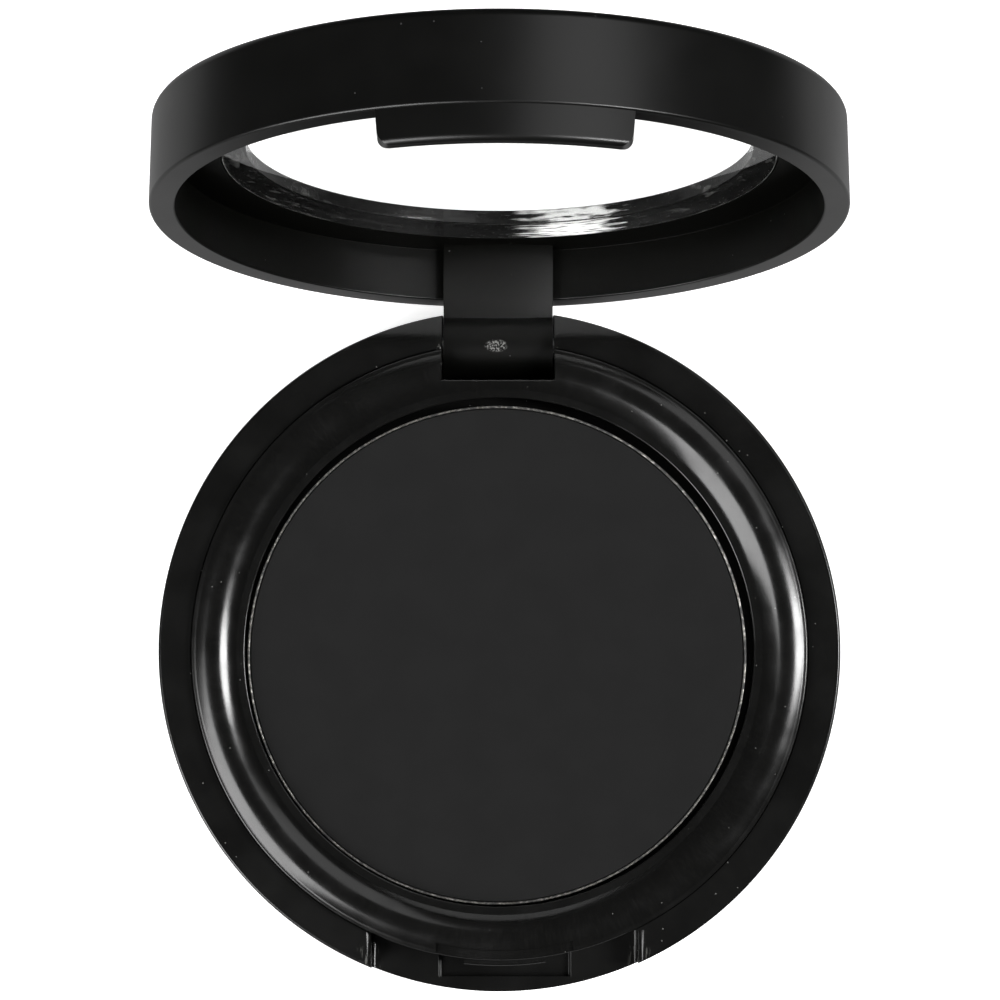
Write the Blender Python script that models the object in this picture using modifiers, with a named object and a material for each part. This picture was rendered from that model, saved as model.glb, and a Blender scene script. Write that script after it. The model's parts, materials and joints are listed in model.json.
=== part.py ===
"""Round single-pan eyeshadow compact, modelled open: a base with a bead-edged tray and a metal pan,
and a windowed lid that turns on a steel pin. The base stands on Z = 0 about the Z axis, with its
hinge at +Y and its thumb catch at -Y. The lid is built shut, then turned open about its pin."""

import math

import bmesh
import bpy

MM = 0.001
SEGMENTS = 72

# Driving dimensions
RADIUS = 25.0 * MM
BASE_HEIGHT = 9.2 * MM
LID_HEIGHT = 7.05 * MM
LID_GAP = 0.05 * MM
OPEN_ANGLE = math.radians(105)

# Base shell
WALL_INNER_RADIUS = 22.6 * MM
FLOOR_TOP = 1.15 * MM
FOOT_FILLET = 1.2 * MM
SIDE_BULGE = 0.12 * MM
LABEL_RECESS_RADIUS = 20.5 * MM
LABEL_RECESS_DEPTH = 0.13 * MM
LABEL_SIDE_GAP = 0.25 * MM
SUPPORT_RING_RADIUS = 13.0 * MM
SUPPORT_RING_WIDTH = 1.0 * MM

# Hinge
PIN_Y = 22.35 * MM
PIN_Z = BASE_HEIGHT - 3.8 * MM
PIN_RADIUS = 0.75 * MM
PIN_LENGTH = 17.0 * MM
PIN_RUNNING_GAP = 0.05 * MM
PIN_PRESS_GAP = 0.02 * MM
PIN_END_GAP = 0.2 * MM
KNUCKLE_RADIUS = 2.25 * MM
KNUCKLE_WIDTH = 8.06 * MM
SLOT_WIDTH = 8.3 * MM
HINGE_X = -0.1 * MM
SLOT_FRONT_Y = 19.95 * MM
HEEL_STOP_Y = 22.45 * MM
HEEL_STOP_Z = PIN_Z - 2.65 * MM
EAR_HALF_WIDTH = 9.2 * MM
EAR_FRONT_Y = 20.4 * MM
EAR_TOP = BASE_HEIGHT - 1.4 * MM
POCKET_HALF_WIDTH = 5.4 * MM
POCKET_FRONT_Y = 19.05 * MM
POCKET_TOP = BASE_HEIGHT - 0.55 * MM
LID_SWEEP_RADIUS = 3.72 * MM
LID_SWEEP_FOOT = PIN_Z + 1.5 * MM

# Thumb catch
CATCH_X = 0.4 * MM
NOTCH_WIDTH = 19.6 * MM
NOTCH_FLOOR = BASE_HEIGHT - 4.0 * MM
NOTCH_INNER_Y = -20.4 * MM
NOTCH_POCKET_WIDTH = 9.6 * MM
NOTCH_POCKET_DEPTH = 0.8 * MM
TAB_WIDTH = 18.2 * MM
TAB_DROP = 2.6 * MM
TAB_TAPER = 0.35 * MM
TAB_CORNER_RADIUS = 0.9 * MM
TAB_EDGE_FILLET = 0.8 * MM
TAB_INNER_RADIUS = 23.4 * MM
TAB_INSET = 0.05 * MM
TAB_STEP = 0.22 * MM
LUG_WIDTH = 6.0 * MM
LUG_RADIUS = 23.05 * MM
LUG_TOP = BASE_HEIGHT - 0.6 * MM
LUG_HEIGHT = 0.8 * MM
LUG_CHAMFER = 0.25 * MM

# Inner tray
TRAY_RADIUS = 22.57 * MM
TRAY_WALL = 0.95 * MM
WELL_RADIUS = 18.66 * MM
WELL_FLOOR = BASE_HEIGHT - 4.6 * MM
BEAD_CREST_RADIUS = 21.1 * MM
BEAD_TOP = BASE_HEIGHT + 1.0 * MM
BEAD_SECTION_RADIUS = 3.0 * MM
BEAD_INNER_RADIUS = 19.27 * MM
BEAD_OUTER_RADIUS = 22.27 * MM
BEAD_EDGE_CHAMFER = 0.1 * MM
BEAD_UNDERSIDE = BASE_HEIGHT + 0.1 * MM
BEAD_UNDERSIDE_OUTER = 0.4 * MM
BEAD_UNDERSIDE_INNER = 0.3 * MM
BEAD_UNDERSIDE_DROP = 0.65 * MM
TRAY_POCKET_GAP = 0.15 * MM
TRAY_EAR_GAP = 0.2 * MM
SKIRT_FOOT = BASE_HEIGHT - 4.6 * MM
CATCH_LAND_RADIUS = 21.8 * MM
CATCH_LAND_HALF_WIDTH = 5.05 * MM
CATCH_LAND_Z = BASE_HEIGHT + 0.45 * MM

# Pan and powder
PAN_RADIUS = 18.3 * MM
PAN_SHEET = 0.25 * MM
PAN_CORNER = 0.6 * MM
PAN_RIM = BASE_HEIGHT - 0.2 * MM
PAN_X = -0.18 * MM
PAN_Y = -0.24 * MM
CAKE_TOP = BASE_HEIGHT - 0.4 * MM
CAKE_TOP_CHAMFER = 0.12 * MM
CAKE_FOOT_CHAMFER = 0.7 * MM
GLUE_RADIUS = 9.0 * MM
GLUE_THICKNESS = 0.2 * MM
GAP = 0.03 * MM

# Lid
LID_WALL_INNER_RADIUS = 23.15 * MM
LID_FACE_FILLET = 0.7 * MM
LID_DRAFT = 0.15 * MM
LEDGE_FILLET = 1.0 * MM
EDGE_CHAMFER = 0.15 * MM
LEDGE_DEPTH = 3.85 * MM
WINDOW_RADIUS = 19.85 * MM
WINDOW_THICKNESS = 2.1 * MM
WINDOW_GAP = 0.06 * MM
SIGHT_RADIUS = 18.12 * MM
SKIN = 1.0 * MM
WINDOW_GLUE_INSET = 0.2 * MM
ARM_INNER_RADIUS = 21.0 * MM
ARM_OUTER_RADIUS = 24.95 * MM
ARM_FOOT_Z = PIN_Z + 1.5 * MM
ARM_HEEL_Z = PIN_Z + 1.2 * MM

RIM_Z = BASE_HEIGHT + LID_GAP
FACE_Z = RIM_Z + LID_HEIGHT
LEDGE_Z = RIM_Z + LEDGE_DEPTH
EPS = 0.5 * MM


def clear_scene():
    for obj in list(bpy.data.objects):
        bpy.data.objects.remove(obj, do_unlink=True)


def make_collection(name, hidden=False):
    collection = bpy.data.collections.new(name)
    collection.hide_render = hidden
    bpy.context.scene.collection.children.link(collection)
    return collection


def make_material(name, colour, roughness, metallic=0.0, alpha=1.0):
    material = bpy.data.materials.new(name)
    material.use_nodes = True
    shader = material.node_tree.nodes["Principled BSDF"]
    shader.inputs["Base Color"].default_value = (*colour, 1.0)
    shader.inputs["Roughness"].default_value = roughness
    shader.inputs["Metallic"].default_value = metallic
    shader.inputs["Alpha"].default_value = alpha
    return material


def link(name, mesh, collection, material=None):
    obj = bpy.data.objects.new(name, mesh)
    collection.objects.link(obj)
    if material:
        mesh.materials.append(material)
    else:
        obj.hide_render = True
        obj.display_type = "WIRE"
    return obj


def arc(centre_r, centre_z, radius, start, end, steps):
    """Points of an arc in the (r, z) plane, from start to end degrees."""
    angles = [math.radians(start + (end - start) * i / steps) for i in range(steps + 1)]
    return [(centre_r + radius * math.cos(a), centre_z + radius * math.sin(a)) for a in angles]


def turned(name, profile, collection, material=None):
    """A solid turned about Z. A profile that starts on the axis is open; any other is closed."""
    mesh = bpy.data.meshes.new(name)
    edges = [(i, i + 1) for i in range(len(profile) - 1)]
    if profile[0][0] > 0:
        edges.append((len(profile) - 1, 0))
    mesh.from_pydata([(r, 0.0, z) for r, z in profile], edges, [])
    obj = link(name, mesh, collection, material)
    screw = obj.modifiers.new("turn", "SCREW")
    screw.steps = SEGMENTS
    screw.render_steps = SEGMENTS
    screw.use_merge_vertices = True
    screw.merge_threshold = 0.000005
    screw.use_smooth_shade = True
    return obj


def box(name, low, high, collection):
    mesh = bpy.data.meshes.new(name)
    form = bmesh.new()
    bmesh.ops.create_cube(form, size=1.0)
    for vert in form.verts:
        vert.co = [a + (b - a) * (c + 0.5) for a, b, c in zip(low, high, vert.co)]
    form.to_mesh(mesh)
    form.free()
    return link(name, mesh, collection)


def rod(name, radius, low_x, high_x, y, z, collection, material=None, sides=32):
    """A round bar along X."""
    mesh = bpy.data.meshes.new(name)
    form = bmesh.new()
    bmesh.ops.create_cone(
        form, cap_ends=True, segments=sides, radius1=radius, radius2=radius, depth=1.0
    )
    for vert in form.verts:
        vert.co = (
            low_x + (high_x - low_x) * (vert.co.z + 0.5),
            y + vert.co.x,
            z + vert.co.y,
        )
    bmesh.ops.recalc_face_normals(form, faces=form.faces)
    form.to_mesh(mesh)
    form.free()
    return link(name, mesh, collection, material)


def prism_along_x(name, outline, half_width, collection):
    """A flat (y, z) outline given thickness along X."""
    mesh = bpy.data.meshes.new(name)
    form = bmesh.new()
    face = form.faces.new([form.verts.new((-half_width, y, z)) for y, z in outline])
    swept = bmesh.ops.extrude_face_region(form, geom=[face])["geom"]
    for vert in swept:
        if isinstance(vert, bmesh.types.BMVert):
            vert.co.x = half_width
    bmesh.ops.recalc_face_normals(form, faces=form.faces)
    form.to_mesh(mesh)
    form.free()
    return link(name, mesh, collection)


def combine(obj, other, operation):
    modifier = obj.modifiers.new(other.name, "BOOLEAN")
    modifier.operation = operation
    modifier.object = other
    modifier.solver = "EXACT"


def cut(obj, *cutters):
    for cutter in cutters:
        combine(obj, cutter, "DIFFERENCE")


def join(obj, *additions):
    for addition in additions:
        combine(obj, addition, "UNION")


def base_profile():
    bulge_z = BASE_HEIGHT / 2
    foot = arc(RADIUS - FOOT_FILLET, FOOT_FILLET, FOOT_FILLET, 0, -90, 4)
    ring_in = SUPPORT_RING_RADIUS - SUPPORT_RING_WIDTH
    ring_top = WELL_FLOOR - TRAY_WALL - GAP
    return [
        (0.0, FLOOR_TOP),
        (ring_in, FLOOR_TOP),
        (ring_in, ring_top),
        (SUPPORT_RING_RADIUS, ring_top),
        (SUPPORT_RING_RADIUS, FLOOR_TOP),
        (WALL_INNER_RADIUS, FLOOR_TOP),
        (WALL_INNER_RADIUS, BASE_HEIGHT),
        (RADIUS - EDGE_CHAMFER, BASE_HEIGHT),
        (RADIUS, BASE_HEIGHT - EDGE_CHAMFER),
        (RADIUS + SIDE_BULGE, bulge_z),
        *foot,
        (LABEL_RECESS_RADIUS, 0.0),
        (LABEL_RECESS_RADIUS, LABEL_RECESS_DEPTH),
        (0.0, LABEL_RECESS_DEPTH),
    ]


def make_base(parts, tools):
    material = make_material("satin_black_base", (0.012, 0.012, 0.011), 0.5)
    base = turned("base_shell", base_profile(), parts, material)
    wall_overlap_y = WALL_INNER_RADIUS + EPS
    floor_z = FLOOR_TOP - EPS
    ears = box(
        "hinge_ears",
        (-EAR_HALF_WIDTH, EAR_FRONT_Y, floor_z),
        (EAR_HALF_WIDTH, wall_overlap_y, EAR_TOP),
        tools,
    )
    pocket = box(
        "hinge_pocket",
        (-POCKET_HALF_WIDTH, POCKET_FRONT_Y, floor_z),
        (POCKET_HALF_WIDTH, EAR_FRONT_Y + EPS, POCKET_TOP),
        tools,
    )
    join(base, ears, pocket)
    half_slot = SLOT_WIDTH / 2
    slot = box(
        "hinge_slot",
        (HINGE_X - half_slot, SLOT_FRONT_Y, HEEL_STOP_Z),
        (HINGE_X + half_slot, RADIUS + 2 * MM, BASE_HEIGHT + MM),
        tools,
    )
    heel_room = box(
        "heel_room",
        (HINGE_X - half_slot, HEEL_STOP_Y, -MM),
        (HINGE_X + half_slot, RADIUS + 2 * MM, BASE_HEIGHT),
        tools,
    )
    # Starts inside the left ear and runs out through the right side, where the pin goes in.
    pin_bore = rod(
        "pin_bore",
        PIN_RADIUS + PIN_PRESS_GAP,
        -PIN_LENGTH / 2 - PIN_END_GAP,
        RADIUS,
        PIN_Y,
        PIN_Z,
        tools,
    )
    cut(base, slot, heel_room, pin_bore, make_lid_sweep(tools), *make_notch(tools))
    return base


def make_lid_sweep(tools):
    """Rounds the flange's back edge about the pin, so that the lid's rim can roll past it."""
    reach = math.sqrt(RADIUS**2 - PIN_Y**2) + MM
    sweep = box(
        "lid_sweep",
        (-reach, PIN_Y, LID_SWEEP_FOOT),
        (reach, RADIUS + MM, BASE_HEIGHT + MM),
        tools,
    )
    half = reach + MM
    keep = rod("lid_sweep_core", LID_SWEEP_RADIUS, -half, half, PIN_Y, PIN_Z, tools, sides=64)
    cut(sweep, keep)
    return sweep


def make_notch(tools):
    half = NOTCH_WIDTH / 2
    notch = box(
        "thumb_notch",
        (CATCH_X - half, -RADIUS - MM, NOTCH_FLOOR),
        (CATCH_X + half, NOTCH_INNER_Y, BASE_HEIGHT + MM),
        tools,
    )
    half_pocket = NOTCH_POCKET_WIDTH / 2
    pocket = box(
        "notch_pocket",
        (CATCH_X - half_pocket, -RADIUS + MM, NOTCH_FLOOR - NOTCH_POCKET_DEPTH),
        (CATCH_X + half_pocket, NOTCH_INNER_Y, NOTCH_FLOOR + MM),
        tools,
    )
    return notch, pocket


def bead_curve():
    """The rounded bead between two narrow flat rings, from the well's edge to the outer edge."""
    centre_z = BEAD_TOP - BEAD_SECTION_RADIUS
    well_side = BEAD_INNER_RADIUS - BEAD_CREST_RADIUS
    wall_side = BEAD_OUTER_RADIUS - BEAD_CREST_RADIUS
    start = math.degrees(math.acos(well_side / BEAD_SECTION_RADIUS))
    end = math.degrees(math.acos(wall_side / BEAD_SECTION_RADIUS))
    crest = arc(BEAD_CREST_RADIUS, centre_z, BEAD_SECTION_RADIUS, start, end, 9)
    return [
        (WELL_RADIUS, crest[0][1] - BEAD_EDGE_CHAMFER),
        (WELL_RADIUS + BEAD_EDGE_CHAMFER, crest[0][1]),
        *crest,
        (TRAY_RADIUS - BEAD_EDGE_CHAMFER, crest[-1][1]),
        (TRAY_RADIUS, crest[-1][1] - BEAD_EDGE_CHAMFER),
    ]


def make_tray(parts, tools):
    material = make_material("gloss_black_tray", (0.008, 0.008, 0.008), 0.15)
    skirt_inner = TRAY_RADIUS - TRAY_WALL
    well_outer = WELL_RADIUS + TRAY_WALL
    profile = [
        (0.0, WELL_FLOOR),
        (WELL_RADIUS, WELL_FLOOR),
        *bead_curve(),
        (TRAY_RADIUS, SKIRT_FOOT),
        (skirt_inner, SKIRT_FOOT),
        (skirt_inner, BEAD_UNDERSIDE - BEAD_UNDERSIDE_DROP),
        (skirt_inner - BEAD_UNDERSIDE_OUTER, BEAD_UNDERSIDE),
        (well_outer + BEAD_UNDERSIDE_INNER, BEAD_UNDERSIDE),
        (well_outer, BEAD_UNDERSIDE - BEAD_UNDERSIDE_DROP),
        (well_outer, WELL_FLOOR - TRAY_WALL),
        (0.0, WELL_FLOOR - TRAY_WALL),
    ]
    tray = turned("inner_tray", profile, parts, material)
    half_slot = SLOT_WIDTH / 2 + GAP
    pocket_half = POCKET_HALF_WIDTH + TRAY_POCKET_GAP
    ear_half = EAR_HALF_WIDTH + TRAY_EAR_GAP
    back = TRAY_RADIUS + MM
    cut(
        tray,
        box(
            "tray_slot",
            (HINGE_X - half_slot, SLOT_FRONT_Y, 0.0),
            (HINGE_X + half_slot, back, BEAD_TOP + MM),
            tools,
        ),
        box(
            "tray_pocket_room",
            (-pocket_half, WELL_RADIUS - TRAY_WALL, WELL_FLOOR + TRAY_POCKET_GAP),
            (pocket_half, back, POCKET_TOP + TRAY_POCKET_GAP),
            tools,
        ),
        box(
            "tray_floor_room",
            (-pocket_half, POCKET_FRONT_Y - TRAY_POCKET_GAP, 0.0),
            (pocket_half, back, WELL_FLOOR + 2 * TRAY_POCKET_GAP),
            tools,
        ),
        box(
            "tray_ear_room",
            (-ear_half, EAR_FRONT_Y - TRAY_EAR_GAP, 0.0),
            (ear_half, back, EAR_TOP + TRAY_EAR_GAP),
            tools,
        ),
        make_catch_land(tools),
    )
    join(tray, make_lug(tools))
    return tray


def make_catch_land(tools):
    """Flattens the bead's outer edge above the catch lug."""
    land = turned(
        "catch_land",
        [
            (CATCH_LAND_RADIUS, BEAD_TOP + MM),
            (TRAY_RADIUS + MM, BEAD_TOP + MM),
            (TRAY_RADIUS + MM, CATCH_LAND_Z),
            (CATCH_LAND_RADIUS, CATCH_LAND_Z),
        ],
        tools,
    )
    span = box(
        "catch_land_span",
        (CATCH_X - CATCH_LAND_HALF_WIDTH, -RADIUS, BASE_HEIGHT),
        (CATCH_X + CATCH_LAND_HALF_WIDTH, -RADIUS / 2, BEAD_TOP + 2 * MM),
        tools,
    )
    combine(land, span, "INTERSECT")
    return land


def make_lug(tools):
    """The catch's lug: a short arc that stands out of the tray's skirt inside the thumb notch."""
    lug = turned(
        "catch_lug",
        [
            (TRAY_RADIUS - EPS, LUG_TOP),
            (LUG_RADIUS - LUG_CHAMFER, LUG_TOP),
            (LUG_RADIUS, LUG_TOP - LUG_CHAMFER),
            (LUG_RADIUS, LUG_TOP - LUG_HEIGHT),
            (TRAY_RADIUS - EPS, LUG_TOP - LUG_HEIGHT),
        ],
        tools,
    )
    span = box(
        "catch_lug_span",
        (CATCH_X - LUG_WIDTH / 2, -RADIUS, 0.0),
        (CATCH_X + LUG_WIDTH / 2, -RADIUS / 2, BASE_HEIGHT),
        tools,
    )
    combine(lug, span, "INTERSECT")
    return lug


def make_pan(parts):
    material = make_material("bright_tinplate", (0.6, 0.6, 0.6), 0.3, metallic=1.0)
    foot = WELL_FLOOR + GLUE_THICKNESS + 2 * GAP
    inner = PAN_RADIUS - PAN_SHEET
    corner = PAN_CORNER
    pan = turned(
        "powder_pan",
        [
            (0.0, foot + PAN_SHEET),
            (inner - corner, foot + PAN_SHEET),
            *arc(inner - corner, foot + PAN_SHEET + corner, corner, -90, 0, 2)[1:],
            (inner, PAN_RIM),
            (PAN_RADIUS, PAN_RIM),
            (PAN_RADIUS, foot + corner + PAN_SHEET),
            *arc(PAN_RADIUS - corner, foot + corner, corner, 0, -90, 2)[1:],
            (0.0, foot),
        ],
        parts,
        material,
    )
    pan.location = (PAN_X, PAN_Y, 0.0)
    return pan


def make_cake(parts):
    material = make_material("pressed_powder", (0.02, 0.02, 0.02), 0.9)
    radius = PAN_RADIUS - PAN_SHEET - GAP
    foot = WELL_FLOOR + GLUE_THICKNESS + 3 * GAP + PAN_SHEET
    cake = turned(
        "eyeshadow_cake",
        [
            (0.0, CAKE_TOP),
            (radius - CAKE_TOP_CHAMFER, CAKE_TOP),
            (radius, CAKE_TOP - CAKE_TOP_CHAMFER),
            (radius, foot + CAKE_FOOT_CHAMFER),
            (radius - CAKE_FOOT_CHAMFER, foot),
            (0.0, foot),
        ],
        parts,
        material,
    )
    cake.location = (PAN_X, PAN_Y, 0.0)
    return cake


def disc(name, radius, bottom, top, parts, material):
    return turned(
        name, [(0.0, top), (radius, top), (radius, bottom), (0.0, bottom)], parts, material
    )


def make_pan_glue(parts):
    material = make_material("hot_glue", (0.7, 0.66, 0.55), 0.4)
    foot = WELL_FLOOR + GAP
    glue = disc("pan_adhesive", GLUE_RADIUS, foot, foot + GLUE_THICKNESS, parts, material)
    glue.location = (PAN_X, PAN_Y, 0.0)
    return glue


def make_label(parts):
    material = make_material("plain_label", (0.75, 0.75, 0.73), 0.6)
    top = LABEL_RECESS_DEPTH - GAP
    return disc("underside_label", LABEL_RECESS_RADIUS - LABEL_SIDE_GAP, 0.0, top, parts, material)


def make_pin(parts):
    material = make_material("steel_pin", (0.55, 0.55, 0.56), 0.25, metallic=1.0)
    half = PIN_LENGTH / 2
    return rod("hinge_pin", PIN_RADIUS, -half, half, PIN_Y, PIN_Z, parts, material)


def lid_profile():
    top_outer = RADIUS - LID_DRAFT
    recess_top = FACE_Z - SKIN
    fillet_r = LID_WALL_INNER_RADIUS - LEDGE_FILLET
    return [
        (SIGHT_RADIUS, FACE_Z),
        *arc(top_outer - LID_FACE_FILLET, FACE_Z - LID_FACE_FILLET, LID_FACE_FILLET, 90, 0, 4),
        (RADIUS, RIM_Z + EDGE_CHAMFER),
        (RADIUS - EDGE_CHAMFER, RIM_Z),
        (LID_WALL_INNER_RADIUS, RIM_Z),
        *arc(fillet_r, LEDGE_Z - LEDGE_FILLET, LEDGE_FILLET, 0, 90, 5),
        (WINDOW_RADIUS + WINDOW_GAP, LEDGE_Z),
        (WINDOW_RADIUS + WINDOW_GAP, recess_top),
        (SIGHT_RADIUS, recess_top),
    ]


def make_tab(tools):
    """The thumb tab: the lid's front wall carried down past the rim, with rounded lower corners."""
    overlap = RIM_Z + MM
    foot = RIM_Z - TAB_DROP
    outer = RADIUS - TAB_STEP
    edge = TAB_EDGE_FILLET
    tab = turned(
        "thumb_tab",
        [
            (LID_WALL_INNER_RADIUS + TAB_INSET, overlap),
            (outer, overlap),
            *arc(outer - edge, foot + edge, edge, 0, -90, 4),
            (TAB_INNER_RADIUS + EDGE_CHAMFER, foot),
            (TAB_INNER_RADIUS, foot + EDGE_CHAMFER),
            (TAB_INNER_RADIUS, RIM_Z - EDGE_CHAMFER),
        ],
        tools,
    )
    half = TAB_WIDTH / 2
    corner = TAB_CORNER_RADIUS
    corner_x = half - TAB_TAPER - corner
    outline = [(CATCH_X - half, overlap + MM), (CATCH_X + half, overlap + MM)]
    outline += arc(CATCH_X + corner_x, foot + corner, corner, 0, -90, 4)
    outline += arc(CATCH_X - corner_x, foot + corner, corner, -90, -180, 4)
    span = prism_along_x("tab_span", outline, RADIUS, tools)
    span.rotation_euler = (0.0, 0.0, -math.pi / 2)
    span.location = (0.0, -RADIUS, 0.0)
    combine(tab, span, "INTERSECT")
    return tab


def knuckle_outline():
    """The hinge arm's section in (y, z): the knuckle's round foot and the arm up to the ledge."""
    heel = (ARM_OUTER_RADIUS, ARM_HEEL_Z)
    reach = math.hypot(heel[0] - PIN_Y, heel[1] - PIN_Z)
    heel_angle = math.degrees(math.atan2(heel[1] - PIN_Z, heel[0] - PIN_Y))
    tangent = heel_angle - math.degrees(math.acos(KNUCKLE_RADIUS / reach))
    round_foot = arc(PIN_Y, PIN_Z, KNUCKLE_RADIUS, tangent, -270, 20)
    arm_top = LEDGE_Z + EPS
    return [(PIN_Y, arm_top), (ARM_OUTER_RADIUS, arm_top), heel, *round_foot]


def make_arm(tools):
    half = KNUCKLE_WIDTH / 2
    knuckle = prism_along_x("hinge_knuckle", knuckle_outline(), half, tools)
    arm = box(
        "hinge_arm",
        (-half, ARM_INNER_RADIUS - MM, ARM_FOOT_Z),
        (half, ARM_OUTER_RADIUS - 2 * EDGE_CHAMFER, LEDGE_Z + EPS),
        tools,
    )
    hollow = turned(
        "arm_hollow",
        [
            (0.0, LEDGE_Z + MM),
            (ARM_INNER_RADIUS, LEDGE_Z + MM),
            (ARM_INNER_RADIUS, PIN_Z),
            (0.0, PIN_Z),
        ],
        tools,
    )
    cut(arm, hollow)
    join(knuckle, arm)
    knuckle.location.x = HINGE_X
    arm.location.x = HINGE_X
    return knuckle


def make_lid(parts, tools):
    material = make_material("matte_black_lid", (0.02, 0.02, 0.02), 0.6)
    lid = turned("lid_shell", lid_profile(), parts, material)
    join(lid, make_tab(tools), make_arm(tools))
    half = KNUCKLE_WIDTH / 2 + MM
    bore = rod(
        "knuckle_bore", PIN_RADIUS + PIN_RUNNING_GAP, -half, half, PIN_Y, PIN_Z, tools
    )
    cut(lid, bore)
    return lid


def make_window(parts):
    material = make_material("clear_window", (0.95, 0.95, 0.95), 0.02, alpha=0.2)
    return disc(
        "lid_window", WINDOW_RADIUS, LEDGE_Z, LEDGE_Z + WINDOW_THICKNESS, parts, material
    )


def make_window_glue(parts):
    material = make_material("clear_adhesive", (0.5, 0.5, 0.5), 0.2)
    low = LEDGE_Z + WINDOW_THICKNESS + GAP / 2
    high = FACE_Z - SKIN - GAP / 2
    inner = SIGHT_RADIUS + WINDOW_GLUE_INSET
    outer = WINDOW_RADIUS - WINDOW_GLUE_INSET
    return turned(
        "window_adhesive",
        [(inner, high), (outer, high), (outer, low), (inner, low)],
        parts,
        material,
    )


def open_lid(pieces, extras):
    """Parents the lid's pieces to an empty on the pin's axis and turns it open."""
    pivot = bpy.data.objects.new("lid_pivot", None)
    pivot.location = (0.0, PIN_Y, PIN_Z)
    bpy.context.scene.collection.objects.link(pivot)
    for obj in pieces + extras:
        obj.parent = pivot
        obj.location.y -= PIN_Y
        obj.location.z -= PIN_Z
    pivot.rotation_euler = (-OPEN_ANGLE, 0.0, 0.0)


def main():
    clear_scene()
    parts = make_collection("eyeshadow_compact")
    base_tools = make_collection("base_cutters", hidden=True)
    lid_tools = make_collection("lid_cutters", hidden=True)
    make_base(parts, base_tools)
    make_tray(parts, base_tools)
    make_pan(parts)
    make_cake(parts)
    make_pan_glue(parts)
    make_label(parts)
    make_pin(parts)
    lid_pieces = [make_lid(parts, lid_tools), make_window(parts), make_window_glue(parts)]
    open_lid(lid_pieces, list(lid_tools.objects))


main()
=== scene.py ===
"""Looks of the round eyeshadow compact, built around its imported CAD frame."""

import json
import math

import bmesh
import bpy
from mathutils import Matrix, Vector, noise


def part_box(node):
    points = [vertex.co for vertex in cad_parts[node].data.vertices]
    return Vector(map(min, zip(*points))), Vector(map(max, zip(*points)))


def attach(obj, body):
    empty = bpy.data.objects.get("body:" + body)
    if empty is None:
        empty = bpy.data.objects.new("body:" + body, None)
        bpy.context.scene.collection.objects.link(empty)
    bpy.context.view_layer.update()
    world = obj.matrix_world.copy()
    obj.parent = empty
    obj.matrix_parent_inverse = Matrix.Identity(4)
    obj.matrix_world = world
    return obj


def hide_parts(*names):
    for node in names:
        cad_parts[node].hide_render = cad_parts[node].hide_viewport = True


MM = 0.001
TURN = 2 * math.pi

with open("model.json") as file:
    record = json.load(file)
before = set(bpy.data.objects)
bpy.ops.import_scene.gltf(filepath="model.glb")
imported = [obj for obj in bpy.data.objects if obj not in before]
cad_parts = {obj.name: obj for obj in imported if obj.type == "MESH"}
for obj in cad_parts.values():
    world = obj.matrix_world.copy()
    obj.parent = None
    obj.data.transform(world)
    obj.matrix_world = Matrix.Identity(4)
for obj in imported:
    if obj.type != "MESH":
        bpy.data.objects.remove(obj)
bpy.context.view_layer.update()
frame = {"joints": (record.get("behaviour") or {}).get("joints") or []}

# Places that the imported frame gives
FLANGE_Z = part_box("base_shell")[1].z
BEAD_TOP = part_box("inner_tray")[1].z
TRAY_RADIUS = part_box("inner_tray")[1].x
CAKE_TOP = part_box("eyeshadow_cake")[1].z
PAN_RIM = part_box("powder_pan")[1].z
PIN = Vector(frame["joints"][0]["pos_m"])
OPEN_ANGLE = math.radians(frame["joints"][0]["range_deg"][1])

# Base shell
RADIUS = 25.0 * MM
BULGE = 0.12 * MM
WALL_INNER = 22.6 * MM
FLOOR_TOP = 1.15 * MM
INSIDE_FOOT = 0.6 * MM
FOOT_FILLET = 1.2 * MM
FLANGE_FILLET = 0.17 * MM
EDGE = 0.08 * MM
LABEL_RECESS_RADIUS = 20.5 * MM
LABEL_RECESS_DEPTH = 0.13 * MM
SUPPORT_RING_RADIUS = 13.0 * MM
SUPPORT_RING_WIDTH = 1.0 * MM

# Hinge
PIN_RADIUS = 0.75 * MM
PIN_PRESS_GAP = 0.02 * MM
PIN_RUNNING_GAP = 0.05 * MM
PIN_HOLE_END = -8.7 * MM
KNUCKLE_RADIUS = 2.25 * MM
KNUCKLE_WIDTH = 8.06 * MM
SLOT_WIDTH = 8.3 * MM
HINGE_X = -0.1 * MM
SLOT_DRAFT = 0.09 * MM
SLOT_FRONT = 19.95 * MM
HEEL_STOP_Y = 22.45 * MM
HEEL_STOP_Z = PIN.z - 2.65 * MM
EAR_HALF_WIDTH = 9.2 * MM
EAR_FRONT = 20.4 * MM
EAR_BACK = 23.1 * MM
EAR_TOP = FLANGE_Z - 1.4 * MM
POCKET_HALF_WIDTH = 5.4 * MM
POCKET_FRONT = 19.05 * MM
POCKET_BACK = 20.9 * MM
POCKET_TOP = FLANGE_Z - 0.55 * MM
LID_SWEEP_RADIUS = 3.72 * MM

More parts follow.
